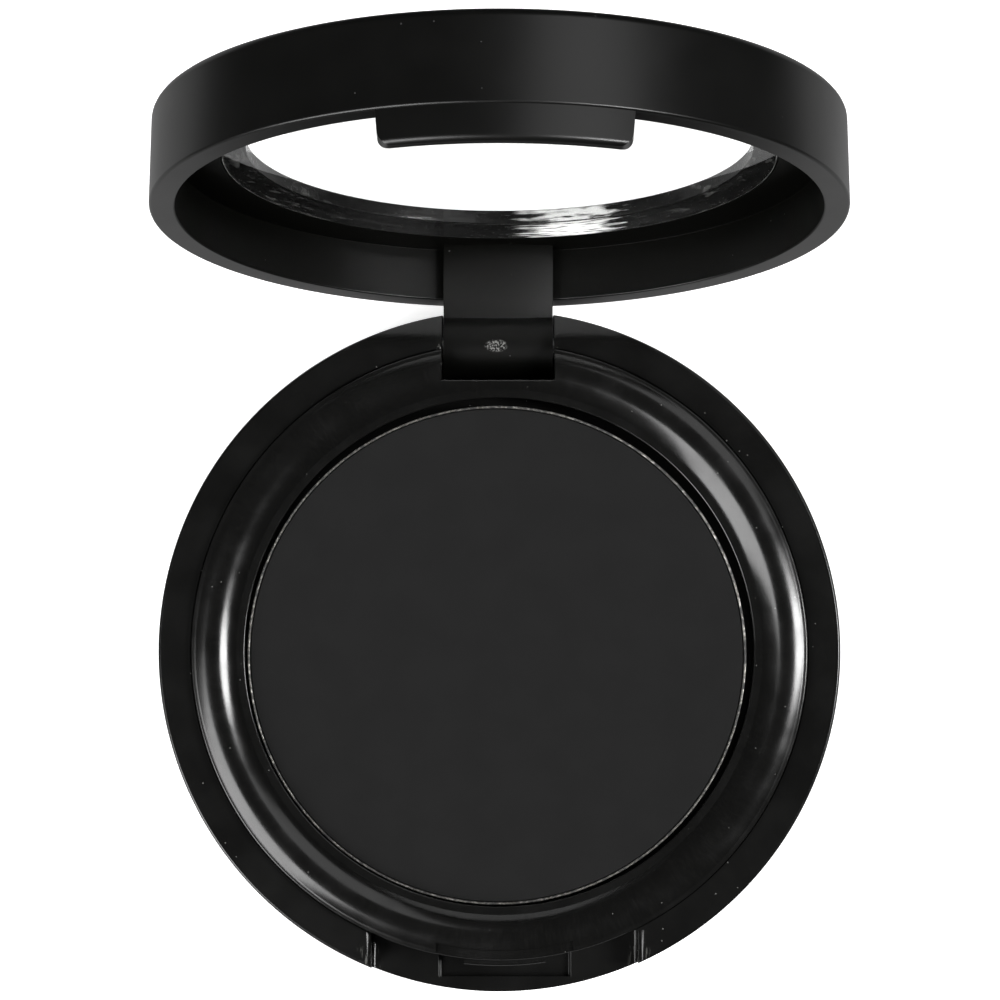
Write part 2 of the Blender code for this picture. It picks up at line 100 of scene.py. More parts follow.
# Thumb catch
CATCH_X = 0.4 * MM
NOTCH_WIDTH = 19.6 * MM
NOTCH_FLOOR = FLANGE_Z - 4.0 * MM
NOTCH_INNER = 20.4 * MM
NOTCH_POCKET_WIDTH = 9.6 * MM
NOTCH_POCKET_DEPTH = 0.8 * MM
TAB_WIDTH = 18.2 * MM
TAB_DROP = 2.6 * MM
TAB_TAPER = 0.35 * MM
TAB_CORNER = 1.2 * MM
TAB_EDGE = 0.79 * MM
TAB_OUTER_EDGE = 0.5 * MM
TAB_STEP = 0.12 * MM
TAB_INNER = 23.4 * MM
LUG_WIDTH = 6.0 * MM
LUG_RADIUS = 23.05 * MM
LUG_TOP = FLANGE_Z - 0.6 * MM
LUG_HEIGHT = 0.8 * MM

# Inner tray
TRAY_WALL = 0.95 * MM
WELL_RADIUS = 18.66 * MM
WELL_FLOOR = FLANGE_Z - 4.6 * MM
BEAD_CREST = 21.1 * MM
RING_RADIUS = 21.0 * MM
BEAD_SECTION = 3.1 * MM
BEAD_INNER_SECTION = 2.68 * MM
BEAD_INNER = 19.27 * MM
BEAD_OUTER = 22.27 * MM
BEAD_FILLET = 0.1 * MM
BEAD_UNDERSIDE = FLANGE_Z + 0.1 * MM
LAND_RADIUS = 21.8 * MM
LAND_HALF_WIDTH = 5.05 * MM
LAND_Z = FLANGE_Z + 0.45 * MM

# Pan and powder
PAN_RADIUS = 18.3 * MM
PAN_SHEET = 0.18 * MM
PAN_LIP = 0.07 * MM
PAN_FOOT_FILLET = 0.7 * MM
PAN_INNER_FILLET = 0.5 * MM
GLUE_THICKNESS = 0.2 * MM
GAP = 0.03 * MM

# Lid, measured shut
RIM_Z = FLANGE_Z + 0.05 * MM
FACE_Z = RIM_Z + 7.05 * MM
LEDGE_Z = RIM_Z + 3.85 * MM
LID_INNER = 23.15 * MM
FACE_FILLET = 0.7 * MM
RIM_FILLET = 0.24 * MM
LEDGE_FILLET = 0.05 * MM
INNER_EDGE = 0.12 * MM
DRAFT = 0.15 * MM
WINDOW_RADIUS = 19.85 * MM
WINDOW_THICKNESS = 2.1 * MM
SIGHT_RADIUS = 18.12 * MM
SKIN = 1.0 * MM
BORDER = 1.5 * MM
ARM_INNER = 21.3 * MM
ARM_BOW = 0.42 * MM
ARM_OUTER = 24.95 * MM
HEEL_RISE = 1.2 * MM

# Studio
CAMERA_LENS = 301.0
CAMERA_PLACE = (0.04 * MM, 11.15 * MM, FLANGE_Z + 613 * MM)
FLOOR_HALF = 1.5
BACKDROP_RADIUS = 1.9

SEGMENTS = 288
ON_AXIS = 1e-7
HAIR = 0.001 * MM


# Outlines


def rounded(corners, steps=5):
    """A closed outline from (u, v, fillet) corners."""
    outline = []
    for i, (u, v, fillet) in enumerate(corners):
        corner = Vector((u, v))
        if fillet == 0:
            outline.append((u, v))
            continue
        before = Vector(corners[i - 1][:2]) - corner
        after = Vector(corners[(i + 1) % len(corners)][:2]) - corner
        half = before.angle(after) / 2
        start = corner + before.normalized() * (fillet / math.tan(half))
        end = corner + after.normalized() * (fillet / math.tan(half))
        middle = (before.normalized() + after.normalized()).normalized()
        centre = corner + middle * (fillet / math.sin(half))
        first, last = start - centre, end - centre
        sweep = math.atan2(first.cross(last), first.dot(last))
        for k in range(steps + 1):
            turn = Matrix.Rotation(sweep * k / steps, 2)
            outline.append(tuple(centre + turn @ first))
    return outline


def arc(centre_u, centre_v, radius, start, end, steps):
    angles = [math.radians(start + (end - start) * k / steps) for k in range(steps + 1)]
    return [(centre_u + radius * math.cos(a), centre_v + radius * math.sin(a)) for a in angles]


# Meshes


def made(name, verts, faces):
    mesh = bpy.data.meshes.new(name)
    mesh.from_pydata([tuple(v) for v in verts], [], faces)
    form = bmesh.new()
    form.from_mesh(mesh)
    bmesh.ops.recalc_face_normals(form, faces=form.faces)
    form.to_mesh(mesh)
    form.free()
    obj = bpy.data.objects.new(name, mesh)
    bpy.context.scene.collection.objects.link(obj)
    return obj


def turned(name, outline, segments=SEGMENTS):
    """A solid turned about Z. An outline that starts on the axis is open; any other is closed."""
    verts, rings, faces = [], [], []
    for r, z in outline:
        count = 1 if r < ON_AXIS else segments
        rings.append([len(verts) + k for k in range(count)])
        for k in range(count):
            angle = TURN * k / segments
            verts.append((r * math.cos(angle), r * math.sin(angle), z))
    pairs = list(zip(rings, rings[1:]))
    if outline[0][0] >= ON_AXIS:
        pairs.append((rings[-1], rings[0]))
    for low, high in pairs:
        for k in range(segments):
            n = (k + 1) % segments
            ends = [low[k % len(low)], low[n % len(low)], high[n % len(high)], high[k % len(high)]]
            face = list(dict.fromkeys(ends))
            if len(face) > 2:
                faces.append(face)
    return made(name, verts, faces)


def prism(name, outline, low, high, axis="X"):
    """An outline given thickness: (y, z) along X, (x, z) along Y, or (x, y) along Z."""
    place = {
        "X": lambda u, v, w: (w, u, v),
        "Y": lambda u, v, w: (u, w, v),
        "Z": lambda u, v, w: (u, v, w),
    }[axis]
    count = len(outline)
    verts = [place(u, v, w) for w in (low, high) for u, v in outline]
    faces = [[k, (k + 1) % count, count + (k + 1) % count, count + k] for k in range(count)]
    faces += [list(range(count)), list(range(count, 2 * count))]
    return made(name, verts, faces)


def box(name, low, high):
    outline = [(low[1], low[2]), (high[1], low[2]), (high[1], high[2]), (low[1], high[2])]
    return prism(name, outline, low[0], high[0])


def rod(name, radius, low_x, high_x, y, z, sides=64, fillet=0.0):
    """A round bar along X with rounded ends."""
    if fillet == 0.0:
        return prism(name, arc(y, z, radius, 0, 360 - 360 / sides, sides - 1), low_x, high_x)
    length = high_x - low_x
    half = [(0.0, 0.0, 0.0), (radius, 0.0, fillet), (radius, length, fillet), (0.0, length, 0.0)]
    bar = turned(name, rounded(half), sides)
    bar.data.transform(Matrix.Translation((low_x, y, z)) @ Matrix.Rotation(math.pi / 2, 4, "Y"))
    return bar


def combine(obj, tool, operation):
    modifier = obj.modifiers.new("boolean", "BOOLEAN")
    modifier.operation = operation
    modifier.object = tool
    modifier.solver = "EXACT"
    bpy.context.view_layer.update()
    graph = bpy.context.evaluated_depsgraph_get()
    mesh = bpy.data.meshes.new_from_object(obj.evaluated_get(graph))
    obj.modifiers.clear()
    obj.data = mesh
    bpy.data.objects.remove(tool)


def cut(obj, *tools):
    for tool in tools:
        combine(obj, tool, "DIFFERENCE")


def join(obj, *tools):
    for tool in tools:
        combine(obj, tool, "UNION")


def smooth(obj, level_flat=False):
    """Smooth shading that keeps sharp edges sharp and, on request, level faces flat."""
    form = bmesh.new()
    form.from_mesh(obj.data)
    bmesh.ops.dissolve_degenerate(form, dist=0.0005 * MM, edges=form.edges)
    form.to_mesh(obj.data)
    form.free()
    obj.data.shade_smooth()
    for face in obj.data.polygons:
        face.use_smooth = not level_flat or abs(face.normal.z) < 0.999999
    obj.data.set_sharp_from_angle(angle=math.radians(32))
    modifier = obj.modifiers.new("normals", "WEIGHTED_NORMAL")
    modifier.keep_sharp = True
    modifier.weight = 60


def dress(obj, material, body, slot, *nodes):
    obj.data.materials.clear()
    obj.data.materials.append(material)
    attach(obj, body)
    if nodes:
        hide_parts(*nodes)
    return obj


def lid_turn():
    """From the shut lid's place to the open one."""
    there = Matrix.Translation(PIN)
    return there @ Matrix.Rotation(-OPEN_ANGLE, 4, "X") @ there.inverted()


# Materials


class Graph:
    """A material's nodes, with short calls for the ones used here."""

    def __init__(self, name):
        self.material = bpy.data.materials.new(name)
        self.material.use_nodes = True
        self.nodes = self.material.node_tree.nodes
        self.links = self.material.node_tree.links
        self.shader = self.nodes["Principled BSDF"]
        self.place = self.node("ShaderNodeTexCoord").outputs["Object"]

    def node(self, kind, inputs=None, **settings):
        node = self.nodes.new(kind)
        for key, value in settings.items():
            setattr(node, key, value)
        for key, value in (inputs or {}).items():
            self.feed(node.inputs[key], value)
        return node

    def feed(self, socket, value):
        if isinstance(value, bpy.types.NodeSocket):
            self.links.new(value, socket)
        else:
            socket.default_value = value

    def set(self, **values):
        for key, value in values.items():
            self.feed(self.shader.inputs[key.replace("_", " ")], value)

    def noise(self, size, place=None, detail=2.0, distortion=0.0):
        """Fractal noise with features about size across, from 0 to 1."""
        inputs = {
            "Vector": place or self.place,
            "Scale": 1 / size,
            "Detail": detail,
            "Distortion": distortion,
        }
        return self.node("ShaderNodeTexNoise", inputs).outputs["Fac"]

    def math(self, operation, first, second=0.0, third=0.0):
        node = self.node("ShaderNodeMath", operation=operation)
        for socket, value in zip(node.inputs, (first, second, third)):
            self.feed(socket, value)
        return node.outputs[0]

    def span(self, value, low, high, to_low=0.0, to_high=1.0):
        """value from low..high to to_low..to_high, held at the ends."""
        inputs = {
            "Value": value,
            "From Min": low,
            "From Max": high,
            "To Min": to_low,
            "To Max": to_high,
        }
        return self.node("ShaderNodeMapRange", inputs).outputs[0]

    def mix(self, factor, first, second):
        node = self.node("ShaderNodeMix", data_type="RGBA")
        self.feed(node.inputs[0], factor)
        self.feed(node.inputs[6], (*first, 1.0) if isinstance(first, tuple) else first)
        self.feed(node.inputs[7], (*second, 1.0) if isinstance(second, tuple) else second)
        return node.outputs[2]

    def specks(self, size, share, radius=0.2):
        """Sparse round specks: size is the room of each, share how many of them are there."""
        node = self.node("ShaderNodeTexVoronoi", {"Vector": self.place, "Scale": 1 / size})
        near = self.math("LESS_THAN", node.outputs["Distance"], radius)
        chosen = self.node("ShaderNodeSeparateColor", {"Color": node.outputs["Color"]})
        picked = self.math("GREATER_THAN", chosen.outputs[0], 1 - share)
        return self.math("MULTIPLY", near, picked)

    def ring_place(self, along, across):
        """The place for streaks: its way around Z scaled by along, and out or up by across."""
        radius, unit = self.polar()
        outward = self.math("ADD", radius, self.axes()[2])
        scale = along * RING_RADIUS
        around = self.node("ShaderNodeVectorMath", {0: unit, "Scale": scale}, operation="SCALE")
        out = self.node("ShaderNodeCombineXYZ", {"Z": self.math("MULTIPLY", outward, across)})
        inputs = {0: around.outputs[0], 1: out.outputs[0]}
        return self.node("ShaderNodeVectorMath", inputs, operation="ADD").outputs[0]

    def bump(self, height, depth, strength=1.0):
        inputs = {"Height": height, "Distance": depth, "Strength": strength}
        return self.node("ShaderNodeBump", inputs).outputs[0]

    def axes(self):
        """The place's x, y and z."""
        return self.node("ShaderNodeSeparateXYZ", {"Vector": self.place}).outputs

    def near(self, value, centre, full, none):
        """1 where value is within full of centre, falling to 0 at none."""
        return self.span(self.apart(value, centre), full, none, 1.0, 0.0)

    def apart(self, value, centre):
        return self.math("ABSOLUTE", self.math("SUBTRACT", value, centre))

    def turn_shut(self):
        """Measures the lid's places as if it were shut, so that they run around Z."""
        back = lid_turn().inverted()
        inputs = {
            "Vector": self.place,
            "Rotation": (OPEN_ANGLE, 0.0, 0.0),
            "Location": tuple(back.translation),
        }
        self.place = self.node("ShaderNodeMapping", inputs).outputs[0]

    def polar(self):
        """(radius from Z, point of the unit circle) of the place."""
        parts = self.axes()
        flat = self.node("ShaderNodeCombineXYZ", {"X": parts[0], "Y": parts[1]}).outputs[0]
        length = self.node("ShaderNodeVectorMath", {0: flat}, operation="LENGTH")
        unit = self.node("ShaderNodeVectorMath", {0: flat}, operation="NORMALIZE")
        return length.outputs["Value"], unit.outputs["Vector"]


def base_plastic():
    """Satin black with a fine spark-eroded grain, dust, and scuffs beside the notch and the slot."""
    g = Graph("satin_black_plastic")
    grain = g.noise(0.09 * MM, detail=3)
    rubbed = g.noise(4 * MM, detail=4)
    dust = g.specks(0.8 * MM, 0.28, 0.075)
    x, y, _ = g.axes()
    notch_edge = NOTCH_WIDTH / 2 + 0.2 * MM
    slot_edge = SLOT_WIDTH / 2 + 0.1 * MM
    notch_side = g.near(g.apart(x, CATCH_X), notch_edge, 0.2 * MM, 1.0 * MM)
    at_notch = g.math("MULTIPLY", notch_side, g.span(y, -21.5 * MM, -21.8 * MM))
    slot_side = g.near(g.apart(x, HINGE_X), slot_edge, 0.12 * MM, 0.3 * MM)
    at_slot = g.math("MULTIPLY", slot_side, g.near(y, 21.5 * MM, 0.9 * MM, 1.3 * MM))
    scratches = g.node("ShaderNodeMapping", {"Vector": g.place, "Scale": (5.0, 0.8, 1.0)}).outputs[0]
    scraped = g.span(g.noise(0.9 * MM, scratches, detail=4), 0.55, 0.66)
    nicked = g.span(g.noise(0.3 * MM, detail=2), 0.58, 0.64)
    scuffs = g.math("ADD", g.math("MULTIPLY", at_notch, scraped), g.math("MULTIPLY", at_slot, nicked))
    colour = g.mix(g.span(rubbed, 0.35, 0.7), (0.0019, 0.0019, 0.0017), (0.0030, 0.0030, 0.0027))
    colour = g.mix(g.span(grain, 0.55, 0.75, 0.0, 0.25), colour, (0.009, 0.009, 0.008))
    colour = g.mix(g.math("MULTIPLY", dust, 0.55), colour, (0.20, 0.20, 0.19))
    colour = g.mix(g.math("MULTIPLY", scuffs, 0.6), colour, (0.16, 0.16, 0.15))
    g.set(
        Base_Color=colour,
        Roughness=g.span(rubbed, 0.3, 0.7, 0.20, 0.24),
        Normal=g.bump(grain, 0.0015 * MM),
    )
    return g.material


def tray_plastic():
    """Polished black with a fine grain that runs across the bead, and dust."""
    g = Graph("gloss_black_plastic")
    streaks = g.noise(0.09 * MM, g.ring_place(1.0, 0.12), detail=4)
    cloud = g.noise(2.5 * MM, detail=5)
    dust = g.specks(0.7 * MM, 0.22, 0.07)
    colour = g.mix(g.span(streaks, 0.45, 0.75), (0.0042, 0.0042, 0.0040), (0.0075, 0.0074, 0.0070))
    colour = g.mix(g.math("MULTIPLY", dust, 0.5), colour, (0.22, 0.22, 0.21))
    g.set(
        Base_Color=colour,
        Roughness=g.span(cloud, 0.3, 0.7, 0.13, 0.22),
        Normal=g.bump(streaks, 0.0011 * MM),
    )
    return g.material


def lid_plastic():
    """Soft-touch black: matte, with a fine even grain and a few rubbed places."""
    g = Graph("matte_black_plastic")
    grain = g.noise(0.07 * MM, detail=2)
    rubbed = g.noise(5 * MM, detail=3)
    dust = g.specks(1.1 * MM, 0.15, 0.06)
    colour = g.mix(g.span(rubbed, 0.35, 0.7), (0.0024, 0.0024, 0.0022), (0.0032, 0.0032, 0.0029))
    colour = g.mix(g.math("MULTIPLY", dust, 0.3), colour, (0.15, 0.15, 0.15))
    g.set(
        Base_Color=colour,
        Roughness=g.span(rubbed, 0.3, 0.7, 0.31, 0.35),
        Normal=g.bump(grain, 0.002 * MM),
    )
    return g.material


def ejector_mark(g):
    """The rough oval spot that an ejector pin left on the knuckle's top."""
    x, y, z = g.axes()
    centre_x, centre_y = -0.23 * MM, 22.5 * MM
    across = g.math("DIVIDE", g.math("SUBTRACT", x, centre_x), 0.78 * MM)
    along = g.math("DIVIDE", g.math("SUBTRACT", y, centre_y), 0.42 * MM)
    away = g.math("SQRT", g.math("ADD", g.math("POWER", across, 2.0), g.math("POWER", along, 2.0)))
    spot = g.near(away, 0.0, 0.85, 1.15)
    rough = g.span(g.noise(0.13 * MM, detail=2), 0.47, 0.6)
    on_top = g.math("GREATER_THAN", z, PIN.z + 0.6 * MM)
    return g.math("MULTIPLY", g.math("MULTIPLY", spot, rough), on_top)


def arm_sheen(g):
    """Specular level: dull on the lid's wall and the barrel, fading from the crease up the arm."""
    x, y, _ = g.axes()
    dull = 0.11
    half = KNUCKLE_WIDTH / 2
    on_arm = g.near(x, HINGE_X, half, half + 0.05 * MM)
    below_crease = g.span(y, 23.6 * MM, 24.6 * MM, 0.15, 0.34)
    up_the_arm = g.span(y, 25.5 * MM, 30 * MM, 0.36, 0.08)
    sheen = g.math("MINIMUM", below_crease, up_the_arm)
    return g.math("MULTIPLY_ADD", on_arm, g.math("SUBTRACT", sheen, dull), dull)


def lid_inside_plastic():
    """The lid's inside and its knuckle: a soft even sheen, dust, and an ejector mark."""
    g = Graph("satin_black_inside")
    flow = g.noise(3.0 * MM, detail=2)
    dust = g.specks(0.9 * MM, 0.2, 0.07)
    colour = g.mix(flow, (0.0014, 0.0015, 0.0011), (0.0020, 0.0020, 0.0016))
    colour = g.mix(g.math("MULTIPLY", dust, 0.5), colour, (0.2, 0.2, 0.2))
    colour = g.mix(g.math("MULTIPLY", ejector_mark(g), 0.8), colour, (0.28, 0.28, 0.27))
    g.set(
        Base_Color=colour,
        Roughness=g.span(flow, 0.0, 1.0, 0.42, 0.48),
        Specular_IOR_Level=arm_sheen(g),
        Normal=g.bump(g.noise(0.12 * MM, detail=2), 0.001 * MM),
    )
    return g.material


def powder():
    """Pressed matte powder."""
    g = Graph("pressed_powder")
    fine = g.noise(0.05 * MM, detail=4)
    broad = g.noise(3 * MM, detail=3)
    colour = g.mix(g.span(broad, 0.35, 0.65), (0.0149, 0.0149, 0.0149), (0.0161, 0.0161, 0.0161))
    g.set(
        Base_Color=colour,
        Roughness=g.span(fine, 0.3, 0.7, 0.88, 1.0),
        Specular_IOR_Level=0.05,
        Normal=g.bump(fine, 0.002 * MM, 0.5),
    )
    return g.material


def tinplate():
    """Bright tinplate, mostly hidden by the powder's dust."""
    g = Graph("dusted_tinplate")
    wear = g.noise(0.25 * MM, detail=4)
    dusted = g.span(g.noise(0.4 * MM, detail=3), 0.42, 0.58)
    metal = g.mix(g.span(wear, 0.4, 0.62), (0.10, 0.095, 0.085), (0.45, 0.44, 0.41))
    g.set(
        Base_Color=g.mix(dusted, metal, (0.03, 0.03, 0.03)),
        Metallic=g.math("SUBTRACT", 1.0, dusted),
        Roughness=g.span(wear, 0.3, 0.7, 0.5, 0.3),
        Normal=g.bump(wear, 0.01 * MM),
    )
    return g.material


def pin_steel():
    """Ground steel with its lines around the pin."""
    g = Graph("ground_steel")
    lines = g.node("ShaderNodeMapping", {"Vector": g.place, "Scale": (1.0, 12.0, 12.0)}).outputs[0]
    ground = g.noise(0.6 * MM, lines, detail=3)
    g.set(
        Base_Color=g.mix(ground, (0.42, 0.42, 0.43), (0.62, 0.62, 0.62)),
        Metallic=1.0,
        Roughness=g.span(ground, 0.3, 0.7, 0.22, 0.38),
    )
    return g.material


def window_clear():
    """Clear moulded acrylic, a little hazy. Shadow rays pass it unbent."""
    g = Graph("clear_acrylic")
    haze = g.noise(3 * MM, detail=3)
    g.set(
        Base_Color=(0.985, 0.99, 0.985, 1.0),
        Transmission_Weight=1.0,
        IOR=1.49,
        Roughness=g.span(haze, 0.3, 0.75, 0.0, 0.02),
    )
    path = g.node("ShaderNodeLightPath").outputs["Is Shadow Ray"]
    clear = g.node("ShaderNodeBsdfTransparent", {"Color": (0.93, 0.93, 0.93, 1.0)})
    mixed = g.node("ShaderNodeMixShader")
    g.links.new(path, mixed.inputs[0])
    g.links.new(g.shader.outputs[0], mixed.inputs[1])
    g.links.new(clear.outputs[0], mixed.inputs[2])
    g.links.new(mixed.outputs[0], g.nodes["Material Output"].inputs["Surface"])
    return g.material


def glue():
    """Clear glue dried over black and smeared around the ring, with lighter streaks that grow towards
    the sides. A painted white reflection lies in one ragged, streaky patch beside the hinge."""
    g = Graph("dried_adhesive_with_painted_reflection")
    g.turn_shut()
    x, y, z = g.axes()
    flattened = g.node("ShaderNodeCombineXYZ", {"X": x, "Y": y, "Z": g.math("MULTIPLY", z, 3.0)})
    smear = g.noise(1.1 * MM, g.ring_place(0.3, 1.3), detail=4, distortion=0.6)
    lumps = g.noise(1.6 * MM, flattened.outputs[0], detail=3)
    froth = g.noise(0.35 * MM, detail=3)
    # Lighter streaks in the glue's colour, weak near the middle and stronger towards the sides.
    sides = g.span(g.math("ABSOLUTE", x), 9 * MM, 16 * MM, 0.12, 1.0)
    streaks = g.math("MULTIPLY", g.span(smear, 0.52, 0.66), g.span(lumps, 0.45, 0.6))
    side_weighted_streaks = g.math("MULTIPLY", streaks, sides)
    # Painted reflection: a near-white patch with ragged, streaky edges beside the hinge, painted into
    # the glue's colour in place of a lamp's highlight.
    reflection_edge_noise = g.noise(0.5 * MM, g.ring_place(0.25, 2.0), detail=4)
    ragged = g.math("MULTIPLY_ADD", reflection_edge_noise, 8.0 * MM, x)
    painted_reflection_area = g.near(ragged, 9.3 * MM, 1.4 * MM, 3.2 * MM)
    painted_reflection_streaks = g.span(g.noise(0.6 * MM, g.ring_place(0.3, 2.0)), 0.34, 0.46)
    painted_reflection = g.math("MULTIPLY", painted_reflection_area, painted_reflection_streaks)
    colour = g.mix(side_weighted_streaks, (0.0035, 0.0035, 0.0035), (0.10, 0.10, 0.097))
    # Lays the painted white reflection over the glue's colour.
    colour = g.mix(painted_reflection, colour, (0.85, 0.85, 0.84))
    g.set(
        Base_Color=colour,
        Roughness=g.span(froth, 0.3, 0.7, 0.08, 0.3),
        Normal=g.bump(smear, 0.2 * MM, 0.8),
    )
    return g.material


def frosted_edge():
    """The clear disc's rounded edge, dulled by trimming."""
    g = Graph("frosted_edge")
    wear = g.noise(0.5 * MM, detail=3)
    g.set(
        Base_Color=g.mix(g.span(wear, 0.35, 0.6), (0.05, 0.05, 0.05), (0.34, 0.34, 0.33)),
        Roughness=g.span(wear, 0.3, 0.7, 0.3, 0.55),
        Normal=g.bump(wear, 0.01 * MM),
    )
    return g.material


def hot_glue():
    """Waxy yellowish glue with a wrinkled skin."""
    g = Graph("hot_glue")
    wrinkle = g.noise(0.7 * MM, detail=4)
    g.set(
        Base_Color=g.mix(wrinkle, (0.60, 0.54, 0.40), (0.74, 0.69, 0.56)),
        Roughness=g.span(wrinkle, 0.3, 0.7, 0.3, 0.5),
        Normal=g.bump(wrinkle, 0.05 * MM),
    )
    return g.material


def paper():
    """Plain uncoated paper."""
    g = Graph("plain_paper_label")
    fibre = g.noise(0.2 * MM, detail=5)
    g.set(
        Base_Color=g.mix(g.span(fibre, 0.35, 0.65), (0.60, 0.60, 0.58), (0.70, 0.70, 0.68)),
        Roughness=0.7,
        Normal=g.bump(fibre, 0.01 * MM),
    )
    return g.material


# Base and tray


def base_outline():
    """From the label recess round the foot, the bulging side and the flange, to the inside."""
    ring_inner = SUPPORT_RING_RADIUS - SUPPORT_RING_WIDTH
    ring_top = WELL_FLOOR - TRAY_WALL - GAP
    side = arc(RADIUS - FOOT_FILLET, FOOT_FILLET, FOOT_FILLET, -90, 0, 10)
    steps = 10
    low_z, high_z = FOOT_FILLET, FLANGE_Z - FLANGE_FILLET
    for k in range(1, steps):
        share = k / steps
        side.append((RADIUS + BULGE * math.sin(math.pi * share), low_z + (high_z - low_z) * share))
    side += arc(RADIUS - FLANGE_FILLET, high_z, FLANGE_FILLET, 0, 90, 6)
    inner = [
        (WALL_INNER + EDGE, FLANGE_Z),
        (WALL_INNER, FLANGE_Z - EDGE),
        (WALL_INNER, FLOOR_TOP),
        (SUPPORT_RING_RADIUS, FLOOR_TOP),
        (SUPPORT_RING_RADIUS, ring_top),
        (ring_inner, ring_top),
        (ring_inner, FLOOR_TOP),
        (0.0, FLOOR_TOP),
    ]
    recess = [
        (0.0, LABEL_RECESS_DEPTH),
        (LABEL_RECESS_RADIUS, LABEL_RECESS_DEPTH),
        (LABEL_RECESS_RADIUS, 0.0),
    ]
    return recess + side + inner


def open_top(half, floor, top, edge, low_fillet, low_half=None):
    """The outline of a slot's cutter, with its top edges rounded over and perhaps a draft."""
    low_half = low_half or half
    beyond = half + 2 * MM
    return rounded(
        [
            (-beyond, top, 0),
            (-half, top, edge),
            (-low_half, floor, low_fillet),
            (low_half, floor, low_fillet),
            (half, top, edge),
            (beyond, top, 0),
            (beyond, top + 2 * MM, 0),
            (-beyond, top + 2 * MM, 0),
        ]
    )


def shifted(outline, offset):
    return [(u + offset, v) for u, v in outline]


def lid_sweep():
    """Rounds the flange's back edge about the pin, so that the lid's rim can roll past it."""
    reach = 13 * MM
    corner = [
        *arc(PIN.y, PIN.z, LID_SWEEP_RADIUS, 90, 20, 24),
        (RADIUS + MM, PIN.z + 1.3 * MM),
        (RADIUS + MM, FLANGE_Z + MM),
        (PIN.y, FLANGE_Z + MM),
    ]
    return prism("lid_sweep", corner, -reach, reach)


def notch_tools():
    """The thumb notch and the shallow pocket in its floor."""
    outline = open_top(NOTCH_WIDTH / 2, NOTCH_FLOOR, FLANGE_Z + HAIR, 0.45 * MM, 0.3 * MM)
    notch = prism("notch", shifted(outline, CATCH_X), -RADIUS - MM, -NOTCH_INNER, "Y")
    half = NOTCH_POCKET_WIDTH / 2
    low = NOTCH_FLOOR - NOTCH_POCKET_DEPTH
    well = open_top(half, low, NOTCH_FLOOR + HAIR, 0.1 * MM, 0.1 * MM)
    pocket = prism("notch_pocket", shifted(well, CATCH_X), -RADIUS + MM, -NOTCH_INNER, "Y")
    return notch, pocket


def make_base():
    base = turned("base_body", base_outline())
    half = SLOT_WIDTH / 2
    ears = box(
        "ears",
        (-EAR_HALF_WIDTH, EAR_FRONT, INSIDE_FOOT),
        (EAR_HALF_WIDTH, EAR_BACK, EAR_TOP),
    )
    pocket = box(
        "pocket",
        (-POCKET_HALF_WIDTH, POCKET_FRONT, INSIDE_FOOT),
        (POCKET_HALF_WIDTH, POCKET_BACK, POCKET_TOP),
    )
    join(base, ears, pocket)
    low_half = half - SLOT_DRAFT
    slot_outline = open_top(half, HEEL_STOP_Z, FLANGE_Z + HAIR, 0.12 * MM, 0.1 * MM, low_half)
    slot = prism("slot", shifted(slot_outline, HINGE_X), SLOT_FRONT, RADIUS + 2 * MM, "Y")
    heel = box(
        "heel_room",
        (HINGE_X - low_half, HEEL_STOP_Y, -MM),
        (HINGE_X + low_half, RADIUS + 2 * MM, HEEL_STOP_Z + MM),
    )
    bore = rod("bore", PIN_RADIUS + PIN_PRESS_GAP, PIN_HOLE_END, RADIUS, PIN.y, PIN.z)
    cut(base, slot, heel, bore, lid_sweep(), *notch_tools())
    smooth(base)
    return dress(base, base_plastic(), "base", "satin_black", "base_shell")


def bead_outline():
    """From the well's edge over the bead, with a narrow flat ring on each side of it."""
    start = math.degrees(math.acos((BEAD_INNER - BEAD_CREST) / BEAD_INNER_SECTION))
    end = math.degrees(math.acos((BEAD_OUTER - BEAD_CREST) / BEAD_SECTION))
    crest = arc(BEAD_CREST, BEAD_TOP - BEAD_INNER_SECTION, BEAD_INNER_SECTION, start, 90, 32)
    crest += arc(BEAD_CREST, BEAD_TOP - BEAD_SECTION, BEAD_SECTION, 90, end, 28)[1:]
    well = arc(WELL_RADIUS + BEAD_FILLET, crest[0][1] - BEAD_FILLET, BEAD_FILLET, 180, 90, 6)
    side = arc(TRAY_RADIUS - BEAD_FILLET, crest[-1][1] - BEAD_FILLET, BEAD_FILLET, 90, 0, 6)
    return well + crest + side


def tray_slot_outline(back):
    """The hinge slot's cutter in (y, z), which rounds the bead's cut edge over."""
    edge = 0.12 * MM
    drop = SLOT_FRONT - BEAD_CREST
    top = BEAD_TOP - BEAD_INNER_SECTION + math.sqrt(BEAD_INNER_SECTION**2 - drop**2)
    high = BEAD_TOP + MM
    return [
        (back, 0.0),
        (SLOT_FRONT, 0.0),
        *arc(SLOT_FRONT - edge, top - 1.4 * edge, edge, 0, 90, 6),
        (SLOT_FRONT - edge, high),
        (back, high),
    ]


